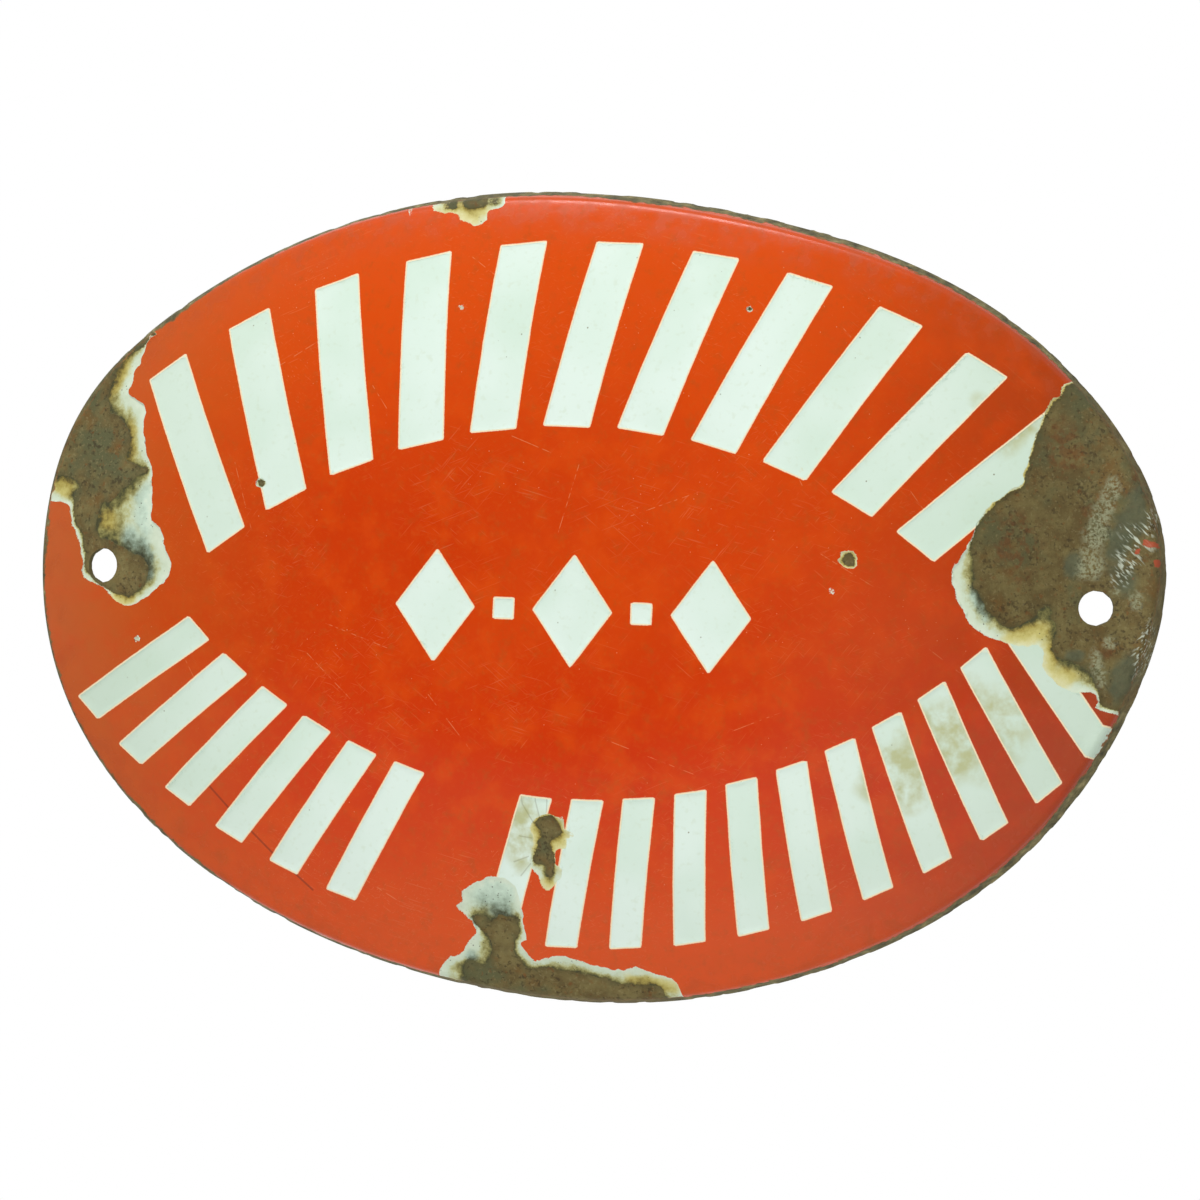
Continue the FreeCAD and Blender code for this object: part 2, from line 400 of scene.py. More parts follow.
def mark_shapes():
    """Every plain mark on the face, as corner lists."""
    shapes = arc_row(UPPER, 0, UPPER_COUNT, 1)
    for middle, count in LOWER_GROUPS:
        shapes += arc_row(LOWER, middle, count, -1)
    half_width = LOZENGE_WIDTH / 2
    half_tall = LOZENGE_HEIGHT / 2
    lozenge = ((0, -half_tall), (half_width, 0), (0, half_tall), (-half_width, 0))
    square = slanted_bar(SQUARE_WIDTH, SQUARE_WIDTH, 0)
    for shape, steps in ((lozenge, (-1, 0, 1)), (square, (-0.5, 0.5))):
        for step in steps:
            shapes.append(placed(shape, MIDDLE_X + step * LOZENGE_PITCH, MIDDLE_Z, 0))
    return shapes


def mark_field(x, z):
    """Signed distance to the nearest mark, with a hand-cut stencil's slight waver."""
    field = np.full(x.shape, FAR_OFF)
    for corners in mark_shapes():
        field = np.minimum(field, signed_distance(x, z, corners))
    return ruffled(field, x, z, STENCIL_WAVER)


def chip_fields(x, z):
    """Signed distances to the edge of the lost red and to the bare steel inside it."""
    edge = core = np.full(x.shape, FAR_OFF)
    ragged = RAGGED * ruffled(0.0, x, z, RAGGED_COAT)
    worn = ruffled(0.0, x, z, RAGGED_STEEL)
    for outline, bare in CHIPS:
        edge = np.minimum(edge, signed_distance(x, z, smooth_loop(outline)) + ragged)
        core = np.minimum(core, signed_distance(x, z, smooth_loop(bare)) + worn)
    for pit_x, pit_z, radius, share in PITS:
        away = np.hypot(x - pit_x, z - pit_z)
        rough = PIT_RAGGED * radius * noise(x, z, PIT_SIZE, PIT_SEED)
        edge = np.minimum(edge, away - radius + rough)
        core = np.minimum(core, away - radius * share + rough)
    return edge, np.maximum(core, edge + LEAST_SLOPE_RUN)


def chip_edge(x, z):
    return chip_fields(x, z)[0]


def hole_field(x, z, shifts=FACE_HOLE_SHIFT):
    """Signed distance to the nearer fixing hole, as it is on the face or on the back."""
    field = np.full(x.shape, FAR_OFF)
    for (hx, hz), shift, share in zip(HOLES, shifts, HOLE_NARROWING):
        field = np.minimum(field, np.hypot((x - hx - shift) / share, z - hz) - HOLE_RADIUS)
    return field


def back_hole_field(x, z):
    return hole_field(x, z, BACK_HOLE_SHIFT)


def zones(x, z, patches):
    """The strongest of several soft patches: 1 in the middle, 0 past a wavering edge."""
    strength = np.zeros_like(x)
    for middle_x, middle_z, half_width, half_height, degrees in patches:
        cosine, sine = math.cos(math.radians(degrees)), math.sin(math.radians(degrees))
        u = ((x - middle_x) * cosine + (z - middle_z) * sine) / half_width
        v = (-(x - middle_x) * sine + (z - middle_z) * cosine) / half_height
        size = 0.5 * min(half_width, half_height) + PATCH_GRAIN
        away = np.hypot(u, v) + PATCH_WAVER * noise(x, z, size, PATCH_SEED)
        strength = np.maximum(strength, np.clip((PATCH_REACH - away) / PATCH_SOFTNESS, 0, 1))
    return strength


def edge_point(turn, inset):
    """A point of the knocked oval, drawn in by inset."""
    push = np.zeros_like(turn) - inset
    for angle, amount, spread in EDGE_KNOCKS:
        gap = (np.degrees(turn) - angle + 180) % 360 - 180
        push = push + amount * np.exp(-((gap / spread) ** 2))
    across = np.cos(turn) / HALF_LENGTH
    up = np.sin(turn) / HALF_HEIGHT
    size = np.hypot(across, up)
    x = HALF_LENGTH * np.cos(turn) + push * across / size
    z = HALF_HEIGHT * np.sin(turn) + push * up / size
    return x, z


def crown(x, z, depth):
    """Height of the domed face at a depth under its outer skin."""
    reach = np.maximum(np.hypot(x / HALF_LENGTH, z / HALF_HEIGHT), 1e-6)
    steepness = CROWN_RISE * CROWN_POWER * reach ** (CROWN_POWER - 2)
    slope_x = steepness * x / HALF_LENGTH ** 2
    slope_z = steepness * z / HALF_HEIGHT ** 2
    bend = np.maximum(0.0, (-x - BENT_FROM) / (HALF_LENGTH - BENT_FROM))
    y = CROWN_RISE * reach ** CROWN_POWER - PLATE_DEPTH + BENT_BACK * bend ** 2
    return y + depth * np.sqrt(1 + slope_x ** 2 + slope_z ** 2)


def meeting(turn, depth):
    """Where the crown and the leaning side would meet if nothing rounded them."""
    base = depth / math.cos(RIM_LEAN)
    height = np.full_like(turn, RIM_DEPTH)
    for _ in range(CORNER_ROUNDS):
        x, z = edge_point(turn, base + height * math.tan(RIM_LEAN))
        height = -crown(x, z, depth)
    return x, -height, z


def bend_rows(turn, depth, rows):
    """Points round the shoulder from the crown to the side, and the last ones' heights."""
    corner = meeting(turn, depth)
    reach = BEND_REACH * (INNER_BEND + WALL - depth)
    inwards = 1 - reach / np.hypot(corner[0], corner[2])
    in_x, in_z = corner[0] * inwards, corner[2] * inwards
    start = (in_x, crown(in_x, in_z, depth), in_z)
    low_y = np.minimum(corner[1] + reach * math.cos(RIM_LEAN), -LEAST_SIDE * RIM_DEPTH)
    low_x, low_z = edge_point(turn, depth / math.cos(RIM_LEAN) - low_y * math.tan(RIM_LEAN))
    end = (low_x, low_y, low_z)
    out = []
    for t in np.arange(rows + 1) / rows:
        a, b, c = (1 - t) ** 2, 2 * t * (1 - t), t ** 2
        out.append(np.stack([a * p + b * q + c * r for p, q, r in zip(start, corner, end)], 1))
    return out, low_y


def layer_depth(layer, edge, core, mark, x, z):
    """Depth under the red coat's face in each layer: red, bare white or a loss."""
    rounded = np.clip(-mark / ROUNDED_RUN, 0, 1)
    white = RED_COAT * (ROUNDED_SHARE + (1 - ROUNDED_SHARE) * rounded * (2 - rounded))
    into = np.clip(core, 0, None)
    share = into / np.maximum(into + np.clip(-edge, 0, None), 1e-3)
    slope = RED_COAT + LOSS_STEP + (GLASS - RED_COAT - LOSS_STEP) * (1 - share) ** LOSS_CURVE
    pitted = ruffled(0.0, x, z, STEEL_PITTING)
    slope = slope + np.where(core < 0, pitted, pitted * (1 - share))
    return np.select([layer == RED_LAYER, layer == WHITE_LAYER], [0.0 * x, white], slope)


def disc_grid(cells):
    """Places in the unit disc on a square grid of cells, as radius and angle."""
    line = np.linspace(-1, 1, cells + 1)
    u, v = (place.ravel() for place in np.meshgrid(line, line, indexing="ij"))
    wide = np.abs(u) >= np.abs(v)
    along, across = np.where(wide, u, v), np.where(wide, v, -u)
    turn = math.pi / 4 * across / np.where(along == 0, 1, along)
    turn = np.where(wide, 0, math.pi / 2) + turn
    return np.abs(along), np.where(along < 0, turn + math.pi, turn)


def grid_index(cells):
    """The vertex numbers of a square grid of cells."""
    return np.arange((cells + 1) ** 2).reshape(cells + 1, cells + 1)


def boundary_ring(cells):
    """Grid vertices round the disc's edge, in order of angle."""
    index = grid_index(cells)
    return np.concatenate([index[:-1, 0], index[-1, :-1], index[:0:-1, -1], index[0, :0:-1]])


def grid_quads(cells):
    """The corner numbers of each cell."""
    index = grid_index(cells)
    corners = (index[:-1, :-1], index[1:, :-1], index[1:, 1:], index[:-1, 1:])
    return np.stack([corner.ravel() for corner in corners], 1)


def rim_distance(x, z, radius):
    """About how far places are from the disc's edge."""
    return (1 - radius) * np.hypot(x, z) / np.maximum(radius, 0.05)


def slope_of(field, x, z, here):
    """How fast a field rises along x and along z."""
    return (field(x + NUDGE, z) - here) / NUDGE, (field(x, z + NUDGE) - here) / NUDGE


def snap(x, z, field, free, spacing):
    """Moves free vertices near a field's zero line onto it, and says which moved.

    One end of every grid edge that crosses the line is near enough to move.
    """
    value = field(x, z)
    widest = SNAP_SEARCH * max(np.hypot(step_x, step_z).max() for step_x, step_z in spacing)
    near = np.flatnonzero(free & (np.abs(value) < widest))
    px, pz, here = x[near], z[near], value[near]
    gx, gz = slope_of(field, px, pz, here)
    size = np.maximum(np.hypot(gx, gz), LEAST_SLOPE)
    crossing = [np.abs(gx * step_x[near] + gz * step_z[near]) for step_x, step_z in spacing]
    reach = SNAP_REACH * np.maximum(*crossing) / size
    close = np.abs(here) / size < reach
    near, px, pz, reach = near[close], px[close], pz[close], reach[close]
    for _ in range(SNAP_ROUNDS):
        here = field(px, pz)
        gx, gz = slope_of(field, px, pz, here)
        size = np.maximum(gx * gx + gz * gz, LEAST_SLOPE_SQUARED)
        px = px + np.clip(-here * gx / size, -reach, reach)
        pz = pz + np.clip(-here * gz / size, -reach, reach)
    held = np.hypot(px - x[near], pz - z[near]) < SNAP_SLACK * reach
    x[near[held]], z[near[held]] = px[held], pz[held]
    moved = np.zeros(x.shape, bool)
    moved[near[held]] = True
    return moved


def snap_corners(x, z, free):
    """Moves the nearest free vertex to each corner of the marks, and says which moved."""
    moved = np.zeros(x.shape, bool)
    for corner_x, corner_z in (corner for shape in mark_shapes() for corner in shape):
        away = np.where(free & ~moved, np.hypot(x - corner_x, z - corner_z), np.inf)
        nearest = int(np.argmin(away))
        if away[nearest] < CORNER_REACH:
            x[nearest], z[nearest] = corner_x, corner_z
            moved[nearest] = True
    return moved


def plan_area(a, b, c, x, z):
    """Twice the area of triangles seen in plan, negative where they are turned over."""
    return (x[b] - x[a]) * (z[c] - z[a]) - (z[b] - z[a]) * (x[c] - x[a])


def split_cells(quads, x, z, signs):
    """Two triangles a cell, with the cut that keeps each one on one side of every line."""
    a, b, c, d = quads.T
    cut_bd = np.hypot(x[a] - x[c], z[a] - z[c]) > np.hypot(x[b] - x[d], z[b] - z[d])
    for sign in signs:
        cut_bd = np.where(sign[b] * sign[d] < 0, False, cut_bd)
        cut_bd = np.where(sign[a] * sign[c] < 0, True, cut_bd)
    least_bd = np.minimum(plan_area(a, b, d, x, z), plan_area(b, c, d, x, z))
    least_ac = np.minimum(plan_area(a, b, c, x, z), plan_area(a, c, d, x, z))
    cut_bd = np.where((least_bd <= 0) & (least_ac > least_bd), False, cut_bd)
    cut_bd = np.where((least_ac <= 0) & (least_bd > least_ac), True, cut_bd)
    one = np.where(cut_bd[:, None], np.stack([a, b, d], 1), np.stack([a, b, c], 1))
    two = np.where(cut_bd[:, None], np.stack([b, c, d], 1), np.stack([a, c, d], 1))
    return np.concatenate([one, two])


def snap_and_unfold(x, z, field, free, spacing, quads, signs):
    """Snaps to one field's line, puts back what folds a triangle, and says which moved."""
    moved = snap_corners(x, z, free) if field is mark_field else np.zeros(x.shape, bool)
    before_x, before_z = x.copy(), z.copy()
    moved |= snap(x, z, field, free & ~moved, spacing)
    for _ in range(UNFOLD_ROUNDS):
        trial = split_cells(quads, x, z, signs)
        folded = trial[plan_area(*trial.T, x, z) <= 0]
        if len(folded) == 0:
            break
        back = np.zeros(x.shape, bool)
        back[folded.ravel()] = True
        back &= (x != before_x) | (z != before_z)
        x[back], z[back] = before_x[back], before_z[back]
        moved &= ~back
    return moved


def grid_face(cells, depth, fields):
    """Snapped plan places of a domed sheet, its triangles and their side of each line."""
    radius, turn = disc_grid(cells)
    rows, _ = bend_rows(turn, depth, 1)
    x = radius * rows[0][:, 0]
    z = radius * rows[0][:, 2]
    square = (cells + 1, cells + 1)
    spacing = [
        [np.gradient(place.reshape(square), axis=axis).ravel() for place in (x, z)]
        for axis in (0, 1)
    ]
    quads = grid_quads(cells)
    free = radius < AT_RIM
    signs = []
    for field in fields:
        moved = snap_and_unfold(x, z, field, free, spacing, quads, signs)
        free &= ~moved
        signs.append(moved)
    for k, field in enumerate(fields):
        sign = np.sign(field(x, z)).astype(int)
        sign[signs[k]] = 0
        signs[k] = sign
    triangles = split_cells(quads, x, z, signs)
    sides = [np.sign(sign[triangles].sum(1)) for sign in signs]
    kept = sides[0] >= 0
    return x, z, radius, turn, triangles[kept], [side[kept] for side in sides]


def triangle_edges(triangles):
    """Each triangle's three edges: their starts, ends, and lower and higher numbers."""
    start = triangles.ravel()
    end = np.roll(triangles, -1, 1).ravel()
    return start, end, np.minimum(start, end), np.maximum(start, end)


def hole_loops(triangles, x, z):
    """Vertices round each fixing hole, in order of angle about it."""
    start, end, low, high = triangle_edges(triangles)
    keys = low * (triangles.max() + 1) + high
    _, first, count = np.unique(keys, return_index=True, return_counts=True)
    open_ones = first[count == 1]
    start, end = start[open_ones], end[open_ones]
    loops = []
    for hx, hz in HOLES:
        near = np.hypot(x[start] - hx, z[start] - hz) < HOLE_RADIUS + HOLE_SEARCH
        ring = np.unique(np.concatenate([start[near], end[near]]))
        turn = np.arctan2(z[ring] - hz, x[ring] - hx) % FULL_TURN
        order = np.argsort(turn)
        loops.append((ring[order], turn[order]))
    return loops


class Mesher:
    """Collects vertices with their attributes and faces with their material."""

    FIELDS = ("mark", "edge", "core", "rim")

    def __init__(self):
        self.points = []
        self.values = {name: [] for name in self.FIELDS}
        self.count = 0
        self.faces = []
        self.materials = []

    def add(self, xyz, **values):
        """Adds vertices and returns their numbers."""
        n = len(xyz)
        self.points.append(np.asarray(xyz, float))
        for name in self.FIELDS:
            self.values[name].append(np.broadcast_to(np.asarray(values[name], float), (n,)))
        self.count += n
        return np.arange(self.count - n, self.count)

    def face(self, faces, material):
        """Adds faces given as lists of corner numbers."""
        self.faces += faces
        self.materials += [material] * len(faces)

    def ring_strip(self, upper, lower, material):
        """Quads between two rings of as many vertices."""
        quads = np.stack([upper, lower, np.roll(lower, -1), np.roll(upper, -1)], 1)
        self.face(quads.tolist(), material)

    def zip_rings(self, first, second, first_turn, second_turn, material):
        """Triangles between two rings of unlike counts, both in order of rising angle."""
        start, other = int(np.argmin(first_turn)), int(np.argmin(second_turn))
        first, first_turn = np.roll(first, -start), np.roll(first_turn, -start)
        second, second_turn = np.roll(second, -other), np.roll(second_turn, -other)
        i, j = 0, 0
        n, m = len(first), len(second)
        triangles = []
        while i < n or j < m:
            next_i = first_turn[(i + 1) % n] + (FULL_TURN if i + 1 >= n else 0)
            next_j = second_turn[(j + 1) % m] + (FULL_TURN if j + 1 >= m else 0)
            if j >= m or (i < n and next_i <= next_j):
                triangles.append((first[i % n], second[j % m], first[(i + 1) % n]))
                i += 1
            else:
                triangles.append((first[i % n], second[j % m], second[(j + 1) % m]))
                j += 1
        self.face(np.array(triangles).tolist(), material)


def coat_walls(triangles, region, corners, copies, total):
    """Small walls wherever one layer of the face stands over a lower one.

    Region is each triangle's layer and corners its vertices in the mesh. Copies gives the
    mesh's number for a plan vertex plus total times a layer.
    """
    start, end, low, high = triangle_edges(triangles)
    owner = np.repeat(np.arange(len(triangles)), 3)
    order = np.lexsort((high, low))
    same = (low[order][1:] == low[order][:-1]) & (high[order][1:] == high[order][:-1])
    one, two = order[:-1][same], order[1:][same]
    one_region, two_region = region[owner[one]], region[owner[two]]
    stepped = one_region != two_region
    upper = np.where(one_region < two_region, one, two)[stepped]
    lower = np.where(one_region < two_region, two, one)[stepped]

    # Red meets white an odd number of times only where red, white and a loss share a corner
    red_white = (region[owner[upper]] == RED_LAYER) & (region[owner[lower]] == WHITE_LAYER)
    meetings = np.bincount(start[upper[red_white]], minlength=total)
    meetings += np.bincount(end[upper[red_white]], minlength=total)

    def between(vertex, top, bottom):
        """The white layer's copy of a vertex, where the wall from red to steel passes it."""
        white = copies.get(vertex + total * WHITE_LAYER)
        return [white] if meetings[vertex] % 2 and white not in (None, top, bottom) else []

    # The lower triangle has the same edge the other way round
    starts, ends = corners.ravel().tolist(), np.roll(corners, -1, 1).ravel().tolist()
    walls = []
    for up, down in zip(upper.tolist(), lower.tolist()):
        top_a, top_b, low_a, low_b = starts[up], ends[up], ends[down], starts[down]
        wall = [top_b, top_a]
        if low_a != top_a:
            wall += between(int(start[up]), top_a, low_a) + [low_a]
        if low_b != top_b:
            wall += [low_b] + between(int(end[up]), top_b, low_b)
        if len(wall) > 2:
            walls.append(wall)
    return walls


def joining_rings(cells, turn, triangles, x, z, numbers):
    """The ring and the holes' rings that a sheet joins the rest by, with their angles."""
    ring = boundary_ring(cells)
    holes = [(numbers[hole], hole_turn) for hole, hole_turn in hole_loops(triangles, x, z)]
    return ring, numbers[ring], turn[ring], holes


def front_face(mesher):
    """The face with its layers, the rings it joins the rest by, and the coats at its edge."""
    fields = (hole_field, chip_edge, mark_field)
    x, z, radius, turn, triangles, sides = grid_face(FACE_CELLS, 0.0, fields)
    edge, core = chip_fields(x, z)
    mark = mark_field(x, z)
    rim = rim_distance(x, z, radius)
    total = len(x)

    # Each triangle is in one layer, but for its corners at the rim and at the holes
    region = np.where(sides[1] < 0, LOSS_LAYER, np.where(sides[2] < 0, WHITE_LAYER, RED_LAYER))
    layers = np.repeat(region[:, None], 3, 1)
    layers[radius[triangles] > AT_RIM] = RED_LAYER
    layers[np.abs(hole_field(x, z))[triangles] < ON_LINE] = LOSS_LAYER
    used, flat = np.unique(triangles + layers * total, return_inverse=True)
    vertex, layer = used % total, used // total
    vx, vz = x[vertex], z[vertex]
    depth = layer_depth(layer, edge[vertex], core[vertex], mark[vertex], vx, vz)
    fade = np.clip(rim[vertex] / FADE_RUN, 0, 1)
    height = crown(vx, vz, depth * np.clip(fade + LEAST_DEPTH, 0, 1))
    height = height + ruffled(0.0, vx, vz, PRESSING_WAVES) * fade
    numbers = mesher.add(
        np.stack([vx, height, vz], 1), mark=mark[vertex], edge=edge[vertex],
        core=core[vertex], rim=rim[vertex],
    )
    corners = numbers[flat.reshape(triangles.shape)]
    sound = (edge[triangles].min(1) > SOUND_EDGE) & (rim[triangles].min(1) > SOUND_RIM)
    mesher.face(corners[~sound].tolist(), CHIPPED_FRONT)
    mesher.face(corners[sound].tolist(), SOUND_FRONT)
    copies = dict(zip(used.tolist(), numbers.tolist()))
    mesher.face(coat_walls(triangles, region, corners, copies, total), CHIPPED_FRONT)

    present, first = np.unique(vertex, return_index=True)
    top = np.zeros(total, int)
    top[present] = numbers[first]
    ring, outer, ring_turn, holes = joining_rings(FACE_CELLS, turn, triangles, x, z, top)
    coats = dict(mark=mark[ring], edge=edge[ring], core=core[ring])
    return outer, ring_turn, holes, coats


def back_face(mesher):
    """The inside of the dome, seen from the wall, the rings it joins the rest by, and no coats."""
    x, z, radius, turn, triangles, _ = grid_face(BACK_CELLS, WALL, (back_hole_field,))
    rim = rim_distance(x, z, radius)
    waves = ruffled(0.0, x, z, PRESSING_WAVES) * np.clip(rim / FADE_RUN, 0, 1)
    height = crown(x, z, WALL) + waves
    used, flat = np.unique(triangles, return_inverse=True)
    coats = dict(mark=FAR, edge=FAR, core=FAR)
    numbers = mesher.add(
        np.stack([x[used], height[used], z[used]], 1), rim=rim[used], **coats,
    )
    mesher.face(numbers[flat.reshape(triangles.shape)][:, ::-1].tolist(), BACK)
    placed_at = np.zeros(len(x), int)
    placed_at[used] = numbers
    _, inner, ring_turn, holes = joining_rings(BACK_CELLS, turn, triangles, x, z, placed_at)
    return inner, ring_turn, holes, coats


def rim_rings(mesher, first, turn, depth, rows, side_rows, coats, material):
    """The bend and the leaning side from a face's outer ring down to the rim's foot."""
    inner = depth > 0
    points, low_y = bend_rows(turn, depth, rows)
    nibbled = EDGE_WEAR * np.clip(ruffled(0.0, *edge_point(turn, 0.0), NIBBLES), 0, 1)
    base = depth / math.cos(RIM_LEAN)
    rings = [first]
    run = 0.0
    for row in range(1, rows + 1):
        run -= SHOULDER_RUN / rows
        rings.append(mesher.add(points[row], rim=run, **coats))
    for row in range(1, side_rows + 1):
        share = row / side_rows
        run -= SIDE_RUN / side_rows
        y = low_y + (-FOOT_BEVEL - low_y) * share
        inset = base - y * math.tan(RIM_LEAN)
        x, z = edge_point(turn, inset if inner else inset + nibbled * share)
        rings.append(mesher.add(np.stack([x, y, z], 1), rim=run, **coats))
    x, z = edge_point(turn, base + (-FOOT_BEVEL if inner else FOOT_BEVEL))
    rings.append(mesher.add(np.stack([x, 0.0 * x, z], 1), rim=run - FOOT_RUN, **coats))
    for upper, lower in zip(rings, rings[1:]):
        pair = (lower, upper) if inner else (upper, lower)
        mesher.ring_strip(*pair, material)
    return rings[-1]


def plate_mesh():
    """The whole plate as one closed mesh."""
    mesher = Mesher()
    outer, turn, front_holes, coats = front_face(mesher)
    foot = rim_rings(mesher, outer, turn, 0.0, BEND_ROWS, SIDE_ROWS, coats, CHIPPED_FRONT)
    inner, inner_turn, back_holes, coats = back_face(mesher)
    inner_foot = rim_rings(
        mesher, inner, inner_turn, WALL, INNER_BEND_ROWS, INNER_SIDE_ROWS, coats, BACK,
    )
    mesher.zip_rings(foot, inner_foot, turn % FULL_TURN, inner_turn % FULL_TURN, BACK)
    for (front, front_turn), (back, back_turn) in zip(front_holes, back_holes):
        mesher.zip_rings(back, front, back_turn, front_turn, CHIPPED_FRONT)
    return mesher


def linear(colour):
    """A colour given in display values from 0 to 255, as the shader's linear values."""
    shares = [value / 255 for value in colour]
    return (*[c / 12.92 if c <= 0.04045 else ((c + 0.055) / 1.055) ** 2.4 for c in shares], 1.0)


def in_scene(name, data):
    """A new object in the scene."""
    made = bpy.data.objects.new(name, data)
    bpy.context.scene.collection.objects.link(made)
    return made


# Colours, in display values
RED = (210, 65, 6)
RED_DEEP = (203, 56, 3)
RED_LIGHT = (218, 76, 10)
# Painted shade for the band below the middle of the face
RED_PAINTED_MIDDLE_SHADE = (206, 50, 2)
RED_WORN = (202, 90, 28)
# Painted highlight for the top of the face, and painted sheen for its bottom
RED_PAINTED_TOP_HIGHLIGHT = (220, 82, 16)
RED_PAINTED_BOTTOM_SHEEN = (220, 90, 22)
RED_DULL = (180, 80, 24)
# Painted shade for the red at the left and right ends
RED_LEFT_END_SHADE = (187, 91, 32)
RED_RIGHT_END_SHADE = (150, 58, 22)
RED_CRACK = (112, 44, 20)
FLECK = (230, 172, 124)
SCRATCH = (230, 150, 96)
# Darker red near the rim
RED_DARKER_NEAR_RIM = (170, 78, 40)
WHITE = (226, 242, 231)
WHITE_DULL = (214, 234, 218)
WHITE_SOILED = (186, 190, 142)
# Painted shade for the white at the plate's ends
WHITE_END_SHADE = (186, 208, 182)
CREAM_EDGE = (246, 226, 186)
PALE = (203, 217, 191)
OCHRE = (166, 150, 76)
OLIVE = (106, 102, 58)
OLIVE_DARK = (68, 68, 42)
STEEL_BROWN = (97, 82, 48)
STEEL_LIGHT = (122, 110, 68)
STEEL_DARK = (58, 48, 30)
STEEL_GREEN = (92, 92, 61)
STEEL_WARM = (114, 84, 42)
# Painted shade for the steel at the right end
STEEL_RIGHT_END_SHADE = (58, 46, 8)
STEEL_WORN = (146, 134, 92)
SLATE_DARK = (64, 70, 52)
SLATE = (98, 104, 80)
SCRAPED = (150, 152, 120)
BRIGHT = (200, 208, 188)
RUST = (120, 72, 32)
RUST_DARK = (66, 38, 22)
RUST_HALO = (88, 62, 36)
EMBER = (176, 80, 52)
RIM_THIN = (150, 92, 48)
GROUND_COAT = (34, 36, 38)
GROUND_COAT_WORN = (58, 58, 54)
GROUND_COAT_SPECK = (92, 94, 88)
SCUFF = (120, 120, 112)
FLOOR = (236, 236, 234)

# Bands of painted light on the red up and down the face: a painted highlight at the top, painted
# shade below the middle and a painted sheen at the bottom. Each has where it starts and is full,
# its strength and colour
PAINTED_LIGHT_BANDS = (
    (5.0, 95.0, 0.75, RED_PAINTED_TOP_HIGHLIGHT),
    (-5.0, -38.0, 0.6, RED_PAINTED_MIDDLE_SHADE),
    (-45.0, -105.0, 0.6, RED_PAINTED_BOTTOM_SHEEN),
)

# Mottling, laid over a colour in this order. Each row has its noise (size in millimetres,
# detail, roughness, shift), where it starts and is full, its strength and its colour.
RED_DRIFT = (
    (60, 1, 0.55, 0, 0.3, 0.7, 1, RED),
)
RED_MOTTLING = (
    (9, 3, 0.55, 0, 0.42, 0.72, 0.6, RED_LIGHT),
    (4, 3, 0.7, 27, 0.5, 0.77, 0.45, RED_DULL),
    (1.3, 1, 0.55, 0, 0.5, 0.87, 0.3, RED_WORN),
)
WHITE_MOTTLING = (
    (35, 2, 0.55, 4, 0.35, 0.7, 1, WHITE_DULL),
    (1.6, 1, 0.55, 9, 0.55, 0.82, 0.3, PALE),
)
STEEL_DRIFT = (
    (6, 4, 0.72, 0, 0.35, 0.67, 1, STEEL_LIGHT),
    (15, 4, 0.65, 33, 0.46, 0.66, 1, STEEL_GREEN),
    (9, 3, 0.65, 47, 0.5, 0.7, 0.7, STEEL_WARM),
)
STEEL_MOTTLING = (
    (0.8, 1, 0.6, 42, 0.57, 0.76, 0.4, STEEL_WORN),
    (2.2, 2, 0.65, 44, 0.59, 0.76, 0.55, RUST),
)
GROUND_COAT_MOTTLING = (
    (30, 4, 0.55, 0, 0.35, 0.7, 1, GROUND_COAT_WORN),
    (1.4, 3, 0.55, 5, 0.6, 0.75, 0.5, GROUND_COAT_SPECK),
)
RUSTY_MOTTLING = (
    (5, 5, 0.65, 20, 0.4, 0.65, 1, STEEL_BROWN),
    (1.7, 4, 0.55, 26, 0.5, 0.65, 0.7, RUST),
)

# Broken coats, from the bare steel at 0 out to the red coat's edge at 1
COMMON_STAIN = (
    (0.0, OLIVE_DARK), (0.12, OLIVE), (0.25, (148, 142, 86)), (0.4, (186, 188, 138)),
    (0.62, PALE), (1.0, (216, 228, 206)),
)
YELLOW_STAIN = (
    (0.0, OLIVE_DARK), (0.1, (108, 94, 46)), (0.28, OCHRE), (0.52, (196, 186, 112)),
    (0.78, (210, 204, 142)), (1.0, (218, 216, 166)),
)
BLUE_STAIN = (
    (0.0, (60, 64, 46)), (0.14, (94, 102, 80)), (0.3, (134, 150, 130)),
    (0.5, (174, 194, 174)), (0.8, (202, 222, 202)), (1.0, (218, 232, 210)),
)
WORN_RIM = (
    (0.3, (66, 62, 42)), (0.48, (104, 98, 66)), (0.62, (134, 124, 84)),
    (0.75, (168, 156, 110)),
)

# Hair scratches: width, how far drawn out, turn in degrees, shift, shift of their patches
HAIRS = (
    (0.34, 34, -52, 5, 8), (0.3, 40, 38, 31, 34), (0.32, 30, 14, 67, 8), (0.3, 36, -24, 88, 34),
)
# Scuffs on the back: turn in degrees and shift
SCUFFS = ((24, 14), (-40, 44), (70, 81))

# Lines on the face, from one place to another, and their widths in millimetres
LIGHT_SCRATCHES = (
    ((-6, 14), (-1, 33)), ((-60, 52), (-54, 44)), ((-20, 40), (-9, 36)),
    ((14, 20), (32, 27)), ((52, 44), (60, 30)), ((66, 12), (84, 2)),
    ((-98, 30), (-92, 12)), ((-75, -20), (-62, -32)), ((-70, -12), (-52, -18)),
    ((-40, -30), (-28, -44)), ((10, -40), (34, -48)), ((44, -36), (58, -30)),
    ((20, 88), (34, 79)), ((62, 78), (74, 66)), ((-88, 56), (-76, 64)),
    ((-36, 88), (-24, 80)), ((96, -12), (110, -22)), ((-112, -20), (-104, -34)),
    ((60, -84), (78, -72)), ((-62, -78), (-48, -86)), ((84, 36), (95, 22)),
)
SCRATCH_WIDTH = 0.16
RED_CRACKS = (
    ((-103, -57), (-97, -63)), ((-97, -63), (-85, -74)), ((-85, -74), (-73, -84)),
)
RED_CRACK_WIDTH = 0.39
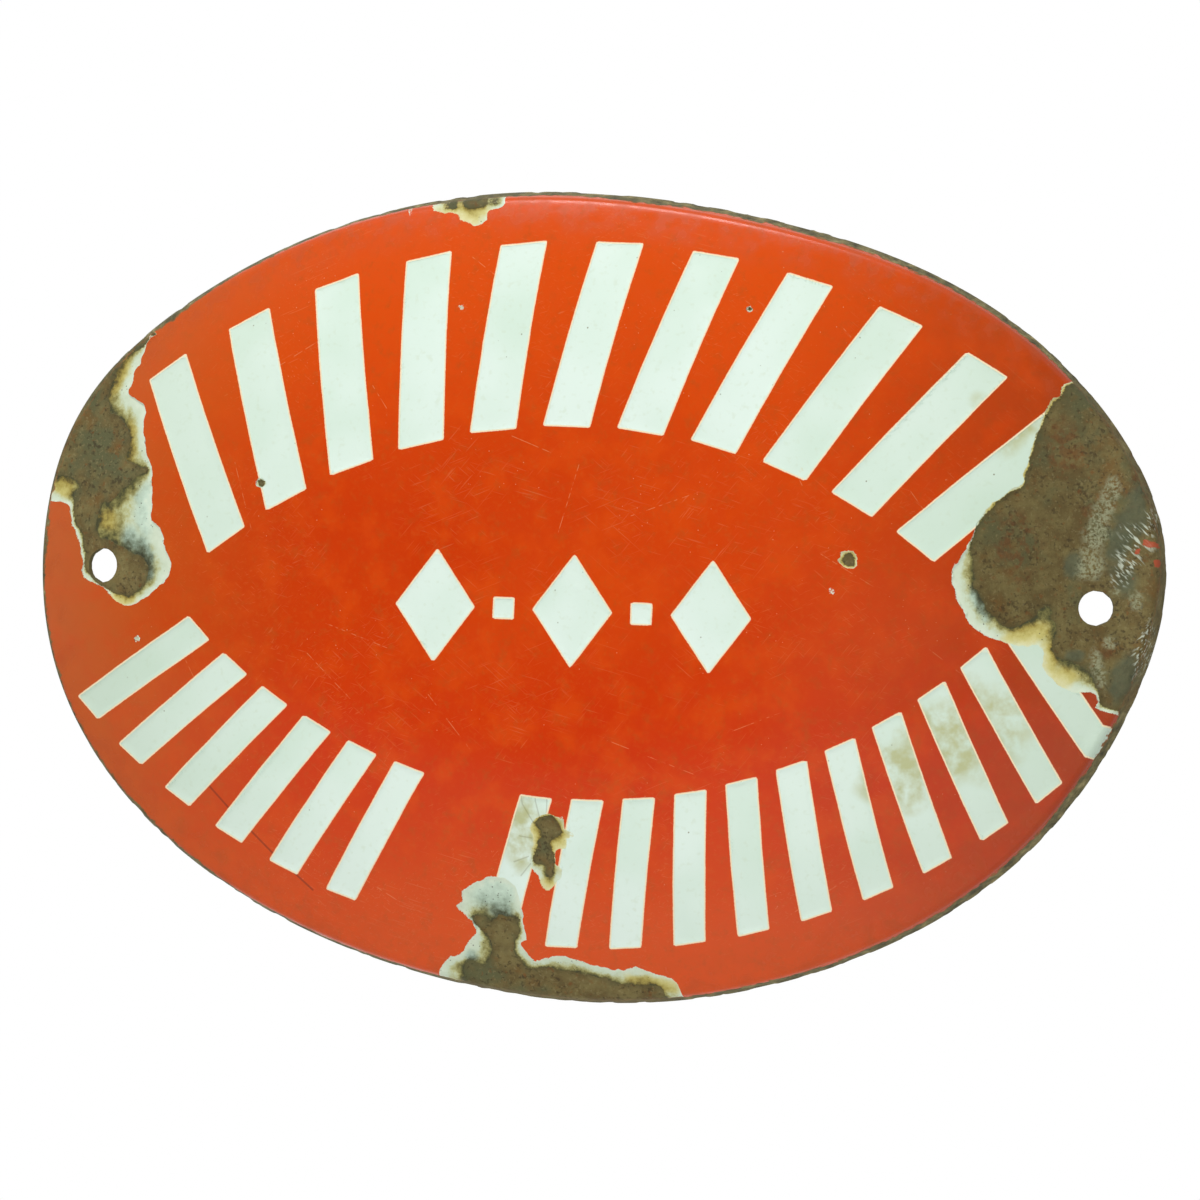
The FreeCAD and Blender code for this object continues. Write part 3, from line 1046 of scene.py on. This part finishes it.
WHITE_CRACKS = (
    ((-8.5, -61), (-9.6, -57)), ((-9.6, -57), (-9.2, -52)), ((-6.5, -60), (-6.2, -53)),
    ((-4.2, -61), (-4.6, -56)), ((-10, -63), (-13.2, -58)), ((-13.2, -58), (-13.8, -53)),
    ((-11.5, -72), (-15.5, -73.6)), ((-11, -74), (-13.6, -77.2)),
    ((-10.6, -67), (-14, -66.6)), ((-126.2, 44.4), (-124.6, 41.0)),
    ((-124.6, 41.0), (-124.9, 36.6)), ((-124.9, 36.6), (-125.4, 34.4)),
    ((-125.4, 34.4), (-122.9, 31.4)),
)
WHITE_CRACK_WIDTH = 0.27

# The glass is less shiny than a plain dielectric, and its relief is this deep at full height
SPECULAR_LEVEL = 0.25
RELIEF_DEPTH = 0.12
RELIEF_STRENGTH = 0.7


class Nodes:
    """Short calls for the nodes of one material or world."""

    def __init__(self, tree):
        self.tree = tree

    def put(self, socket, value):
        """Links a socket to another one, or sets it to a number, colour or triple."""
        if isinstance(value, bpy.types.NodeSocket):
            self.tree.links.new(value, socket)
        else:
            socket.default_value = value

    def node(self, kind, inputs=None, **settings):
        """Adds a node with its settings, and puts values in its inputs by name or number."""
        node = self.tree.nodes.new("ShaderNode" + kind)
        for name, value in settings.items():
            setattr(node, name, value)
        for name, value in (inputs or {}).items():
            self.put(node.inputs[name], value)
        return node

    def math(self, operation, *values, clamp=False):
        """A number worked out from others, each a number or a socket."""
        node = self.node("Math", dict(enumerate(values)), operation=operation, use_clamp=clamp)
        return node.outputs[0]

    def vector(self, operation, *values):
        """A vector node; each value is a socket, a number's socket or a triple."""
        node = self.node("VectorMath", dict(enumerate(values)), operation=operation)
        return node.outputs["Value" if operation in ("DISTANCE", "DOT_PRODUCT") else "Vector"]

    def add(self, a, b):
        return self.math("ADD", a, b)

    def times(self, a, b):
        return self.math("MULTIPLY", a, b)

    def most(self, *values):
        """The greatest of several numbers."""
        greatest = values[0]
        for value in values[1:]:
            greatest = self.math("MAXIMUM", greatest, value)
        return greatest

    def between(self, share, a, b):
        """A number that goes from a to b as share goes from 0 to 1."""
        return self.math("MULTIPLY_ADD", share, self.math("SUBTRACT", b, a), a)

    def step(self, value, low, high, start=0.0, end=1.0):
        """A smooth change from start at low to end at high. High may be the lower one."""
        if low > high:
            low, high, start, end = high, low, end, start
        inputs = {"Value": value, "From Min": low, "From Max": high, "To Min": start, "To Max": end}
        return self.node("MapRange", inputs, interpolation_type="SMOOTHSTEP").outputs["Result"]


class Shader(Nodes):
    """One material with a principled surface, its patterns laid out in millimetres."""

    def __init__(self, name):
        self.material = bpy.data.materials.new(name)
        self.material.use_nodes = True
        super().__init__(self.material.node_tree)
        self.tree.nodes.clear()
        self.surface = self.node("BsdfPrincipled")
        self.node("OutputMaterial", {"Surface": self.surface.outputs["BSDF"]})
        place = self.node("TexCoord").outputs["Object"]
        scaled = self.node("VectorMath", {0: place, "Scale": 1 / MM}, operation="SCALE")
        self.place = scaled.outputs["Vector"]
        split = self.node("SeparateXYZ", {0: self.place})
        self.across = split.outputs["X"]
        self.up = split.outputs["Z"]

    def finish(self, inputs):
        """Puts values in the surface's sockets and gives the finished material."""
        for name, value in inputs.items():
            self.put(self.surface.inputs[name], value)
        return self.material

    def attribute(self, name):
        return self.node("Attribute", attribute_name=name).outputs["Fac"]

    def noise(self, size, detail=2.0, roughness=0.55, shift=0.0, drawn=1.0, turn=0.0):
        """Noise from about 0 to 1 with features of the given size in millimetres.

        They may be drawn out along a line that is turned clockwise, in degrees, from level.
        """
        place = self.place
        if drawn != 1.0 or shift:
            place = self.node("Mapping", {
                "Vector": place, "Location": (shift, shift, shift),
                "Rotation": (0, math.radians(turn), 0), "Scale": (drawn, 1, 1),
            }, vector_type="TEXTURE").outputs["Vector"]
        return self.node("TexNoise", {
            "Vector": place, "Scale": 1 / size, "Detail": detail, "Roughness": roughness,
        }).outputs["Fac"]

    def wander(self, strength, *noise, **options):
        """Noise about 0, times a strength."""
        return self.times(self.add(self.noise(*noise, **options), -0.5), strength)

    def patches(self, low, high, *noise, **options):
        """Where noise passes from low to high, as a share from 0 to 1."""
        return self.step(self.noise(*noise, **options), low, high)

    def streaks(self, width, drawn, turn, shift, low, high):
        """Sparse straight marks of a width, drawn out along one direction."""
        return self.patches(low, high, width, 1, 0.5, shift, drawn, turn)

    def spots(self, size, low, high, shift=0.0):
        """Round specks: 1 within low cells of a cell's middle, 0 past high."""
        inputs = {"Vector": self.place, "Location": (shift, shift, shift)}
        place = self.node("Mapping", inputs).outputs["Vector"]
        cells = self.node("TexVoronoi", {"Vector": place, "Scale": 1 / size})
        return self.step(cells.outputs["Distance"], high, low)

    def lines(self, ends, width):
        """Fine straight lines between places on the face: 1 on them, 0 beside them."""
        flat = self.vector("MULTIPLY", self.place, (1, 0, 1))
        least = None
        for (ax, az), (bx, bz) in ends:
            a = Vector((ax, 0, az))
            along = Vector((bx, 0, bz)) - a
            scaled = along / along.length_squared
            reach = self.vector("DOT_PRODUCT", flat, scaled)
            share = self.math("ADD", reach, -a.dot(scaled), clamp=True)
            gap = self.vector("DISTANCE", flat, self.vector("MULTIPLY_ADD", share, along, a))
            least = gap if least is None else self.math("MINIMUM", least, gap)
        return self.step(least, width, 0.3 * width)

    def mix(self, share, a, b):
        """A blend of two colours, each a display colour or a socket."""
        node = self.node("Mix", {"Factor": share}, data_type="RGBA")
        sockets = [socket for socket in node.inputs if socket.type == "RGBA"]
        for socket, value in zip(sockets, (a, b)):
            self.put(socket, linear(value) if isinstance(value, tuple) else value)
        return next(socket for socket in node.outputs if socket.type == "RGBA")

    def over(self, colour, top, share, strength):
        """A colour with another one over it, as strong as strength where share is 1."""
        return self.mix(self.times(share, strength), colour, top)

    def mottled(self, colour, layers):
        """A colour with the layers of one of the mottling tables over it."""
        for size, detail, roughness, shift, low, high, strength, top in layers:
            share = self.patches(low, high, size, detail, roughness, shift)
            colour = self.over(colour, top, share, strength)
        return colour

    def ramp(self, value, stops):
        """A colour ramp from display colours at positions."""
        node = self.node("ValToRGB", {"Fac": value})
        elements = node.color_ramp.elements
        while len(elements) < len(stops):
            elements.new(0.5)
        for element, (position, colour) in zip(elements, stops):
            element.position = position
            element.color = linear(colour)
        return node.outputs["Color"]

    def bump(self, height):
        """The way the surface faces over a relief with heights from 0 to 1."""
        return self.node("Bump", {
            "Height": height, "Distance": RELIEF_DEPTH * MM, "Strength": RELIEF_STRENGTH,
        }).outputs["Normal"]


def red_coat(s, left_end_shade, right_end_shade, rim_darkening):
    """Red with drift, mottling, flecks and hair scratches, with bands of painted highlight, painted
    shade and painted sheen up and down it, painted shade at both ends and darker red near the rim.
    """
    red = s.mottled(RED_DEEP, RED_DRIFT)
    # Bands of painted highlight, painted shade and painted sheen up and down the face
    for low, high, strength, colour in PAINTED_LIGHT_BANDS:
        red = s.over(red, colour, s.step(s.up, low, high), strength)
    red = s.mottled(red, RED_MOTTLING)
    flecks = s.times(s.spots(2.2, 0.04, 0.085), s.patches(0.48, 0.64, 20, 1, shift=7))
    red = s.over(red, FLECK, flecks, 0.6)
    hairs = s.most(*[
        s.times(s.streaks(*hair, 0.67, 0.75), s.patches(0.44, 0.6, 26, 1, shift=patch))
        for *hair, patch in HAIRS
    ])
    broken = s.patches(0.42, 0.6, 1.6, 1, shift=12)
    scratches = s.times(s.lines(LIGHT_SCRATCHES, SCRATCH_WIDTH), broken)
    red = s.over(red, SCRATCH, s.most(scratches, s.times(hairs, 0.4)), 0.45)
    clouds = s.patches(0.25, 0.6, 12, 3, 0.6, shift=2)
    # Painted shade at the left and right ends, in cloudy patches
    red = s.mix(s.times(left_end_shade, s.add(s.times(clouds, 0.35), 0.5)), red, RED_LEFT_END_SHADE)
    red = s.mix(s.times(right_end_shade, s.add(s.times(clouds, 0.4), 0.5)), red, RED_RIGHT_END_SHADE)
    # Darker red in patches near the rim
    red = s.over(red, RED_DARKER_NEAR_RIM, rim_darkening, 0.35)
    return s.over(red, RED_CRACK, s.lines(RED_CRACKS, RED_CRACK_WIDTH), 0.6)


def white_coat(s, ends, cracks):
    """The pale coat seen through the stencilled marks, with painted shade at the plate's ends."""
    white = s.mottled(WHITE, WHITE_MOTTLING)
    # Painted shade at the plate's ends
    white = s.over(white, WHITE_END_SHADE, ends, 0.6)
    white = s.over(white, WHITE_SOILED, s.attribute("soil"), s.patches(0.3, 0.7, 5, 3))
    pits = s.times(s.spots(4.6, 0.03, 0.065, 3.0), s.patches(0.48, 0.6, 15, 1, shift=15))
    white = s.over(white, OLIVE, pits, 0.75)
    return s.over(white, OLIVE, cracks, 0.3)


def broken_coats(s, core, edge, cracks):
    """Coats round a loss, from white at the rim of the red to olive at the steel."""
    out = s.math("MAXIMUM", core, 0.0)
    span = s.math("MAXIMUM", s.math("SUBTRACT", out, s.math("MINIMUM", edge, 0.0)), 0.05)
    share = s.add(s.math("DIVIDE", out, span), s.wander(0.8, 2.4, 3, 0.65, shift=21))
    blue = s.attribute("blue")
    coats = s.mix(s.attribute("yellow"), s.ramp(share, COMMON_STAIN), s.ramp(share, YELLOW_STAIN))
    coats = s.mix(blue, coats, s.ramp(share, BLUE_STAIN))
    speckled = s.add(s.noise(4, 1, shift=18), s.times(blue, 0.12))
    specks = s.times(s.spots(1.1, 0.1, 0.24, 8.0), s.step(speckled, 0.53, 0.66))
    coats = s.over(coats, STEEL_DARK, specks, 0.75)
    return s.over(coats, OLIVE_DARK, cracks, 0.5)


def bare_steel(s, core):
    """Brown steel with grey-green drift, pits, rust, scraped patches and bright ticks."""
    steel = s.mottled(STEEL_BROWN, STEEL_DRIFT)
    pitted = s.add(s.noise(1.1, 1.5, 0.65, shift=40), s.wander(0.35, 8, 1, shift=53))
    steel = s.over(steel, STEEL_DARK, s.step(pitted, 0.54, 0.74), 0.7)
    steel = s.mottled(steel, STEEL_MOTTLING)
    # Painted shade darkening the bare steel towards the right end
    right_steel_shade = s.times(s.step(s.across, 85.0, 110.0), s.step(s.across, 150.0, 122.0))
    steel = s.over(steel, STEEL_RIGHT_END_SHADE, right_steel_shade, 0.28)
    rusty = s.times(s.attribute("rust"), s.patches(0.42, 0.63, 2.2, 2, shift=50))
    steel = s.over(steel, s.mix(s.noise(1.1, 1), RUST_DARK, RUST), rusty, 0.55)
    slate = s.mix(s.noise(3, 2), SLATE_DARK, SLATE)
    steel = s.over(steel, slate, s.attribute("dark"), 0.75)
    grainy = s.patches(0.34, 0.64, 0.9, 1.5, 0.75, shift=60)
    steel = s.over(steel, SCRAPED, s.attribute("pale"), s.times(grainy, 0.85))
    falling = s.streaks(0.65, 5.0, 38, 70, 0.5, 0.68)
    rising = s.streaks(0.6, 5.0, -36, 74, 0.5, 0.68)
    ticks = s.between(s.step(s.up, 0.0, 3.0), rising, falling)
    steel = s.over(steel, BRIGHT, s.attribute("streak"), s.times(ticks, 0.9))
    frayed = s.wander(1.5, 1.6, 2, 0.7, shift=66)
    ember = s.step(s.add(s.attribute("ember"), frayed), 0.32, 0.6)
    steel = s.over(steel, EMBER, ember, 0.88)
    return s.over(steel, OLIVE_DARK, s.step(core, -1.8, 1.3), 0.6)


def enamel_front(name, sound):
    """Red over white over a dark ground coat, sound or chipped to rusty steel."""
    s = Shader(name)
    fine = s.add(s.noise(0.5, 1), -0.5)
    # Painted shade towards both ends of the plate
    left_end_shade = s.step(s.across, -60.0, -158.0)
    right_end_shade = s.step(s.across, 35.0, 165.0)
    rim_distance = s.attribute("rim")
    # Darker, patchier red and less gloss within 12 mm of the rim
    rim_darkening = s.times(s.step(rim_distance, 12.0, 0.0), s.patches(0.35, 0.76, 5, 2, shift=2))
    cracks = s.lines(WHITE_CRACKS, WHITE_CRACK_WIDTH)
    red = red_coat(s, left_end_shade, right_end_shade, rim_darkening)
    white = white_coat(s, s.add(left_end_shade, right_end_shade), cracks)
    mark = s.add(s.attribute("mark"), s.times(fine, 0.18))
    face = s.mix(s.step(mark, 0.62, 0.34), red, CREAM_EDGE)
    face = s.mix(s.step(mark, 0.24, -0.05), face, white)

    # Glassy, with orange peel
    glass = s.add(s.times(s.noise(6, 2, shift=90), 0.12), 0.13)
    glass = s.add(glass, s.times(rim_darkening, 0.2))
    peel = s.times(s.noise(3.5, 1, shift=100), 0.25)
    if sound:
        return s.finish({
            "Base Color": face, "Roughness": glass, "Normal": s.bump(peel),
            "Specular IOR Level": SPECULAR_LEVEL,
        })

    edge = s.add(s.attribute("edge"), s.times(fine, 0.45))
    core_distance = s.attribute("core")
    core = s.add(core_distance, s.times(fine, 0.9))
    rim = s.add(rim_distance, s.wander(3.2, 2.2, 2))
    rim = s.add(rim, s.wander(2.9, 22, 1, shift=25))

    # The leaning rim, worn through its coats, and further in at the left end
    worn = s.math("SUBTRACT", rim, s.times(s.step(s.across, -80.0, -135.0), 2.4))
    rim_colour = s.ramp(s.noise(3.4, 3, 0.65, shift=80), WORN_RIM)
    lip = s.mix(s.step(worn, -3.3, -2.7), rim_colour, RIM_THIN)

    lost = s.step(edge, 0.06, -0.06)
    bore = s.step(s.attribute("hole"), 0.5, 0.15)
    bare = s.most(s.step(core, 0.3, -0.1), bore)
    colour = s.mix(lost, face, broken_coats(s, core, edge, cracks))
    colour = s.mix(bare, colour, bare_steel(s, core))
    rim_gone = s.step(worn, -2.5, -2.9)
    colour = s.over(colour, lip, rim_gone, s.math("SUBTRACT", 1.0, s.times(bare, 0.6)))

    # Broken coats and rust are matt
    broken_coat = s.add(s.times(s.noise(2, 1), 0.2), 0.35)
    rusty = s.add(s.times(s.noise(2, 1), 0.2), 0.62)
    rough = s.between(lost, glass, broken_coat)
    rough = s.between(s.most(bare, rim_gone), rough, rusty)

    # Pits and grain on the steel
    grain = s.add(s.noise(0.7, 1, 0.7, shift=110), s.times(s.noise(2.4, 2), 1.4))
    coarse = s.most(s.step(core_distance, 0.3, -0.1), s.step(rim_distance, -2.5, -2.9))
    return s.finish({
        "Base Color": colour, "Roughness": rough,
        "Normal": s.bump(s.between(coarse, peel, grain)), "Specular IOR Level": SPECULAR_LEVEL,
    })


def enamel_back():
    """The dark ground coat inside the dome, with rust creeping in from the rim and the holes."""
    s = Shader("ground_coat_back")
    rim = s.add(s.attribute("rim"), s.wander(26.0, 9, 5, 0.6))
    hole = s.add(s.attribute("hole"), s.wander(12.0, 4, 4, 0.6, shift=3))
    coat = s.mottled(GROUND_COAT, GROUND_COAT_MOTTLING)
    flecks = s.times(s.spots(3.4, 0.08, 0.16), s.patches(0.5, 0.6, 18, 2, shift=8))
    coat = s.over(coat, RUST, flecks, 0.8)
    scuffs = s.most(*[s.streaks(0.6, 18, turn, shift, 0.68, 0.76) for turn, shift in SCUFFS])
    coat = s.over(coat, SCUFF, scuffs, 0.35)
    bare = s.most(s.step(rim, 2.5, 0.5), s.step(hole, 4.0, 2.5))
    halo = s.most(s.step(rim, 8.0, 1.0), s.step(hole, 9.0, 3.0))
    colour = s.over(coat, RUST_HALO, halo, 0.55)
    colour = s.mix(bare, colour, s.mottled(RUST_DARK, RUSTY_MOTTLING))
    glass = s.add(s.times(s.noise(8, 3, shift=30), 0.25), 0.25)
    grain = s.noise(0.9, 4, 0.7, shift=36)
    peel = s.times(s.noise(3.0, 2, shift=38), 0.3)
    return s.finish({
        "Base Color": colour, "Roughness": s.between(bare, glass, 0.75),
        "Normal": s.bump(s.between(bare, peel, grain)),
    })


def build_plate():
    """The plate as a Blender object with its attributes and materials."""
    made = plate_mesh()
    xyz = np.concatenate(made.points)
    mesh = bpy.data.meshes.new("enamelled_plate")
    mesh.from_pydata((xyz * MM).tolist(), [], made.faces)
    mesh.polygons.foreach_set("material_index", made.materials)
    mesh.polygons.foreach_set("use_smooth", [True] * len(mesh.polygons))
    x, z = xyz[:, 0], xyz[:, 2]
    values = {name: np.concatenate(made.values[name]) for name in Mesher.FIELDS}
    values["hole"] = hole_field(x, z)
    for name, patches in SOFT_PATCHES.items():
        values[name] = zones(x, z, patches)
    for name, value in values.items():
        attribute = mesh.attributes.new(name, "FLOAT", "POINT")
        attribute.data.foreach_set("value", value.astype(np.float32))
    mesh.materials.append(enamel_front("chipped_enamel_front", False))
    mesh.materials.append(enamel_back())
    mesh.materials.append(enamel_front("sound_enamel_front", True))
    mesh.validate()
    mesh.update()
    mesh.set_sharp_from_angle(angle=SHARP_ANGLE)
    return in_scene("enamelled_plate", mesh)


# The studio, in metres. The floor is well below the plate and clear of the picture. It and
# the world look white to the camera, reflections and glass.
FLOOR_REACH = 6.0
FLOOR_HEIGHT = -1.2
FLOOR_ROUGHNESS = 0.9
FLOOR_GLOW = 0.4
SEEN_RAYS = ("Is Camera Ray", "Is Glossy Ray", "Is Transmission Ray")

# The world's grey fill, and what reflections show in front of the plate: the dark half of
# the studio, within these angles of straight ahead
WORLD_FILL = 0.39
WORLD_DARK = 0.03
DARK_WITHIN = math.radians(37)
LIT_BEYOND = math.radians(65)

# Soft lamps: name, place, size, power, and whether reflections show them
LAMPS = (
    ("key_lamp", (-0.42, -1.05, 2.12), 0.85, 35.0, True),
    ("fill_lamp", (0.35, -1.95, -0.55), 1.2, 15.0, False),
)

# The camera stands to the right of the plate's axis, in metres, and is rolled a little. The
# field is the picture's width at the plate.
CAMERA_TURN = math.radians(14.6)
CAMERA_AWAY = 3.0
CAMERA_ROLL = math.radians(2.5)
FIELD_WIDTH = 0.32197
SENSOR_WIDTH = 36.0
AIM_RIGHT = 0.00064
AIM_DOWN = 0.00276


def seen_rays(nodes):
    """The light path's outputs, and a share that is 1 for rays which see the background."""
    path = nodes.node("LightPath").outputs
    return path, nodes.most(*[path[name] for name in SEEN_RAYS])


def pale_floor():
    """A wide plain floor."""
    mesh = bpy.data.meshes.new("studio_floor")
    corners = ((-1, -1), (1, -1), (1, 1), (-1, 1))
    points = [(x * FLOOR_REACH, y * FLOOR_REACH, FLOOR_HEIGHT) for x, y in corners]
    mesh.from_pydata(points, [], [(0, 1, 2, 3)])
    floor = in_scene("studio_floor", mesh)
    s = Shader("studio_floor")
    _, seen = seen_rays(s)
    mesh.materials.append(s.finish({
        "Base Color": linear(FLOOR), "Roughness": FLOOR_ROUGHNESS,
        "Emission Color": (1, 1, 1, 1), "Emission Strength": s.times(seen, FLOOR_GLOW),
    }))


def studio_world():
    """White where the background is seen, with a plain grey fill for the rest."""
    world = bpy.data.worlds.new("studio")
    bpy.context.scene.world = world
    world.use_nodes = True
    n = Nodes(world.node_tree)
    path, seen = seen_rays(n)
    plain = n.node("MapRange", {"Value": seen, "To Min": WORLD_FILL, "To Max": 1.0})
    ahead = n.vector("DOT_PRODUCT", n.node("TexCoord").outputs["Generated"], (0, -1, 0))
    reflected = n.step(ahead, math.cos(LIT_BEYOND), math.cos(DARK_WITHIN), 1.0, WORLD_DARK)
    shown = n.node("Mix", {
        "Factor": path["Is Glossy Ray"], "A": plain.outputs["Result"], "B": reflected,
    })
    background = n.tree.nodes["Background"]
    n.put(background.inputs["Color"], (1, 1, 1, 1))
    n.put(background.inputs["Strength"], shown.outputs["Result"])


def soft_lamp(name, place, size, power, reflected):
    """A square soft lamp aimed at the plate."""
    data = bpy.data.lights.new(name, "AREA")
    data.shape = "SQUARE"
    data.size = size
    data.energy = power
    lamp = in_scene(name, data)
    lamp.location = place
    lamp.rotation_mode = "QUATERNION"
    lamp.rotation_quaternion = (-Vector(place)).to_track_quat("-Z", "Y")
    lamp.visible_glossy = reflected


def camera():
    """The photo's viewpoint, with the picture's middle a little off the plate's origin."""
    data = bpy.data.cameras.new("photo_camera")
    data.sensor_width = SENSOR_WIDTH
    data.lens = SENSOR_WIDTH * CAMERA_AWAY / FIELD_WIDTH
    eye = in_scene("photo_camera", data)
    stand = Matrix.Rotation(CAMERA_TURN, 4, "Z") @ Matrix.Rotation(math.pi / 2, 4, "X")
    stand = stand @ Matrix.Rotation(CAMERA_ROLL, 4, "Z")
    eye.matrix_world = stand @ Matrix.Translation((AIM_RIGHT, -AIM_DOWN, CAMERA_AWAY))
    bpy.context.scene.camera = eye


plate = build_plate()
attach(plate, "root")
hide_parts("sign_plate")

pale_floor()
studio_world()
for lamp in LAMPS:
    soft_lamp(*lamp)
camera()
bpy.context.scene.view_settings.view_transform = "Standard"
